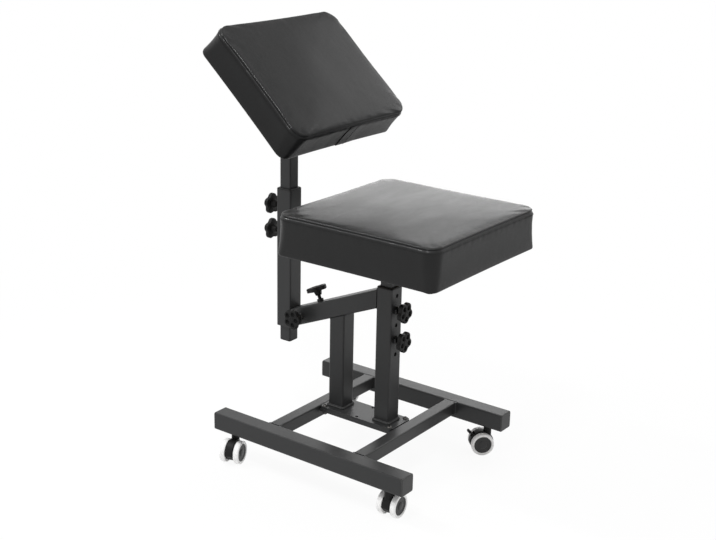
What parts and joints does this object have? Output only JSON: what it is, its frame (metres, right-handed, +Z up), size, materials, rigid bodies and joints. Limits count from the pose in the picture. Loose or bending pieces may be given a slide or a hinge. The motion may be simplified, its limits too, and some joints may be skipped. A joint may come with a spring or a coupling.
{
  "type": "rolling salon chair",
  "caption": "Rolling chair for salon and tattoo work: square-tube base on twin-wheel casters, height-adjustable cushioned seat, sliding tilting chest pad clamped by star knobs.",
  "frame": {"origin": "on the floor, under the middle of the chair's bounding box", "axes": "+Z up, +X towards the seat's end, +Y to the chair's left"},
  "size_m": [0.5754, 0.4566, 0.9143],
  "materials": {
    "powder_coat": "satin black powder coat, finely textured",
    "black_plastic": "moulded black plastic, fine spark texture",
    "zinc_steel": "black zinc plate",
    "leatherette": "black grained leatherette with a soft sheen",
    "plywood": "bare plywood",
    "wheel": "white polyurethane tread with a dark grey hub"
  },
  "bodies": {
    "base": {"rail_right": "powder_coat", "rail_left": "powder_coat", "end_cap_right_front": "black_plastic", "end_cap_right_rear": "black_plastic", "end_cap_left_front": "black_plastic", "end_cap_left_rear": "black_plastic", "cross_member_front": "powder_coat", "cross_member_rear": "powder_coat", "lower_plate": "powder_coat", "foot_plate": "powder_coat", "foot_bolt_right_front": "zinc_steel", "foot_bolt_right_rear": "zinc_steel", "foot_bolt_left_front": "zinc_steel", "foot_bolt_left_rear": "zinc_steel", "front_post": "powder_coat", "rear_post": "powder_coat", "arm_tube": "powder_coat", "seat_guide_bush": "black_plastic", "caster_right_front_stem": "zinc_steel", "caster_right_rear_stem": "zinc_steel", "caster_left_front_stem": "zinc_steel", "caster_left_rear_stem": "zinc_steel"},
    "seat": {"seat_post": "powder_coat", "seat_plate": "powder_coat", "seat_board": "plywood", "seat_cushion": "leatherette"},
    "backrest": {"inner_arm": "powder_coat", "backrest_post": "powder_coat", "backrest_guide_bush": "black_plastic"},
    "slider": {"backrest_slider": "powder_coat", "slider_plug": "black_plastic"},
    "pad": {"pad_bracket": "powder_coat", "pad_board": "plywood", "pad_cushion": "leatherette"},
    "seat_knob_upper": {"seat_knob_upper": "black_plastic"},
    "seat_knob_lower": {"seat_knob_lower": "black_plastic"},
    "arm_knob_top": {"arm_knob_top": "black_plastic"},
    "arm_knob_side": {"arm_knob_side": "black_plastic"},
    "backrest_knob_upper": {"backrest_knob_upper": "black_plastic"},
    "backrest_knob_lower": {"backrest_knob_lower": "black_plastic"},
    "tilt_knob": {"tilt_knob": "black_plastic"},
    "caster_right_front": {"caster_right_front_hood": "black_plastic", "caster_right_front_axle": "zinc_steel"},
    "caster_right_front_wheel_a": {"caster_right_front_wheel_a": "wheel"},
    "caster_right_front_wheel_b": {"caster_right_front_wheel_b": "wheel"},
    "caster_right_rear": {"caster_right_rear_hood": "black_plastic", "caster_right_rear_axle": "zinc_steel"},
    "caster_right_rear_wheel_a": {"caster_right_rear_wheel_a": "wheel"},
    "caster_right_rear_wheel_b": {"caster_right_rear_wheel_b": "wheel"},
    "caster_left_front": {"caster_left_front_hood": "black_plastic", "caster_left_front_axle": "zinc_steel"},
    "caster_left_front_wheel_a": {"caster_left_front_wheel_a": "wheel"},
    "caster_left_front_wheel_b": {"caster_left_front_wheel_b": "wheel"},
    "caster_left_front_brake_pedal": {"caster_left_front_brake_pedal": "black_plastic"},
    "caster_left_rear": {"caster_left_rear_hood": "black_plastic", "caster_left_rear_axle": "zinc_steel"},
    "caster_left_rear_wheel_a": {"caster_left_rear_wheel_a": "wheel"},
    "caster_left_rear_wheel_b": {"caster_left_rear_wheel_b": "wheel"},
    "caster_left_rear_brake_pedal": {"caster_left_rear_brake_pedal": "black_plastic"}
  },
  "joints": [
    {"name": "seat_slide", "type": "slide", "parent": "base", "child": "seat", "axis": [0, 0, 1], "range_m": [-0.065, 0.08]},
    {"name": "arm_slide", "type": "slide", "parent": "base", "child": "backrest", "axis": [-0.9212, 0, -0.3891], "range_m": [0, 0.11]},
    {"name": "backrest_slide", "type": "slide", "parent": "backrest", "child": "slider", "axis": [0, 0, 1], "range_m": [-0.08, 0.15]},
    {"name": "pad_tilt", "type": "hinge", "parent": "slider", "child": "pad", "pos_m": [-0.207, 0, 0.74295], "axis": [0, 1, 0], "range_deg": [-42.4, 47.6]},
    {"name": "seat_knob_upper_turn", "type": "hinge", "parent": "base", "child": "seat_knob_upper", "pos_m": [0.0785, 0, 0.3515], "axis": [1, 0, 0], "range_deg": [0, 360]},
    {"name": "seat_knob_lower_turn", "type": "hinge", "parent": "base", "child": "seat_knob_lower", "pos_m": [0.0785, 0, 0.2875], "axis": [1, 0, 0], "range_deg": [0, 360]},
    {"name": "arm_knob_top_turn", "type": "hinge", "parent": "base", "child": "arm_knob_top", "pos_m": [-0.11864, 0, 0.32658], "axis": [-0.3891, 0, 0.9212], "range_deg": [0, 360]},
    {"name": "arm_knob_side_turn", "type": "hinge", "parent": "base", "child": "arm_knob_side", "pos_m": [-0.15914, -0.019, 0.28884], "axis": [0, -1, 0], "range_deg": [0, 360]},
    {"name": "backrest_knob_upper_turn", "type": "hinge", "parent": "backrest", "child": "backrest_knob_upper", "pos_m": [-0.226, 0, 0.51965], "axis": [-1, 0, 0], "range_deg": [0, 360]},
    {"name": "backrest_knob_lower_turn", "type": "hinge", "parent": "backrest", "child": "backrest_knob_lower", "pos_m": [-0.226, 0, 0.46365], "axis": [-1, 0, 0], "range_deg": [0, 360]},
    {"name": "tilt_knob_turn", "type": "hinge", "parent": "pad", "child": "tilt_knob", "pos_m": [-0.207, 0.0173, 0.74295], "axis": [0, 1, 0], "range_deg": [0, 360]},
    {"name": "caster_right_front_swivel", "type": "hinge", "parent": "base", "child": "caster_right_front", "pos_m": [0.2, -0.1855, 0.05], "axis": [0, 0, 1], "continuous": true},
    {"name": "caster_right_front_wheel_a_spin", "type": "hinge", "parent": "caster_right_front", "child": "caster_right_front_wheel_a", "pos_m": [0.19942, -0.17231, 0.025], "axis": [0.999, 0.0436, 0], "continuous": true},
    {"name": "caster_right_front_wheel_b_spin", "type": "hinge", "parent": "caster_right_front", "child": "caster_right_front_wheel_b", "pos_m": [0.19942, -0.17231, 0.025], "axis": [0.999, 0.0436, 0], "continuous": true},
    {"name": "caster_right_rear_swivel", "type": "hinge", "parent": "base", "child": "caster_right_rear", "pos_m": [-0.2, -0.1855, 0.05], "axis": [0, 0, 1], "continuous": true},
    {"name": "caster_right_rear_wheel_a_spin", "type": "hinge", "parent": "caster_right_rear", "child": "caster_right_rear_wheel_a", "pos_m": [-0.19614, -0.19812, 0.025], "axis": [-0.9563, -0.2924, 0], "continuous": true},
    {"name": "caster_right_rear_wheel_b_spin", "type": "hinge", "parent": "caster_right_rear", "child": "caster_right_rear_wheel_b", "pos_m": [-0.19614, -0.19812, 0.025], "axis": [-0.9563, -0.2924, 0], "continuous": true},
    {"name": "caster_left_front_swivel", "type": "hinge", "parent": "base", "child": "caster_left_front", "pos_m": [0.2, 0.1855, 0.05], "axis": [0, 0, 1], "continuous": true},
    {"name": "caster_left_front_wheel_a_spin", "type": "hinge", "parent": "caster_left_front", "child": "caster_left_front_wheel_a", "pos_m": [0.19051, 0.17633, 0.025], "axis": [-0.6947, 0.7193, 0], "continuous": true},
    {"name": "caster_left_front_wheel_b_spin", "type": "hinge", "parent": "caster_left_front", "child": "caster_left_front_wheel_b", "pos_m": [0.19051, 0.17633, 0.025], "axis": [-0.6947, 0.7193, 0], "continuous": true},
    {"name": "caster_left_front_brake_press", "type": "hinge", "parent": "caster_left_front", "child": "caster_left_front_brake_pedal", "pos_m": [0.17848, 0.16472, 0.04006], "axis": [0.6947, -0.7193, 0], "range_deg": [0, 18]},
    {"name": "caster_left_rear_swivel", "type": "hinge", "parent": "base", "child": "caster_left_rear", "pos_m": [-0.2, 0.1855, 0.05], "axis": [0, 0, 1], "continuous": true},
    {"name": "caster_left_rear_wheel_a_spin", "type": "hinge", "parent": "caster_left_rear", "child": "caster_left_rear_wheel_a", "pos_m": [-0.19614, 0.19812, 0.025], "axis": [0.9563, -0.2924, 0], "continuous": true},
    {"name": "caster_left_rear_wheel_b_spin", "type": "hinge", "parent": "caster_left_rear", "child": "caster_left_rear_wheel_b", "pos_m": [-0.19614, 0.19812, 0.025], "axis": [0.9563, -0.2924, 0], "continuous": true},
    {"name": "caster_left_rear_brake_press", "type": "hinge", "parent": "caster_left_rear", "child": "caster_left_rear_brake_pedal", "pos_m": [-0.19125, 0.21411, 0.04006], "axis": [-0.9563, 0.2924, 0], "range_deg": [0, 18]}
  ]
}
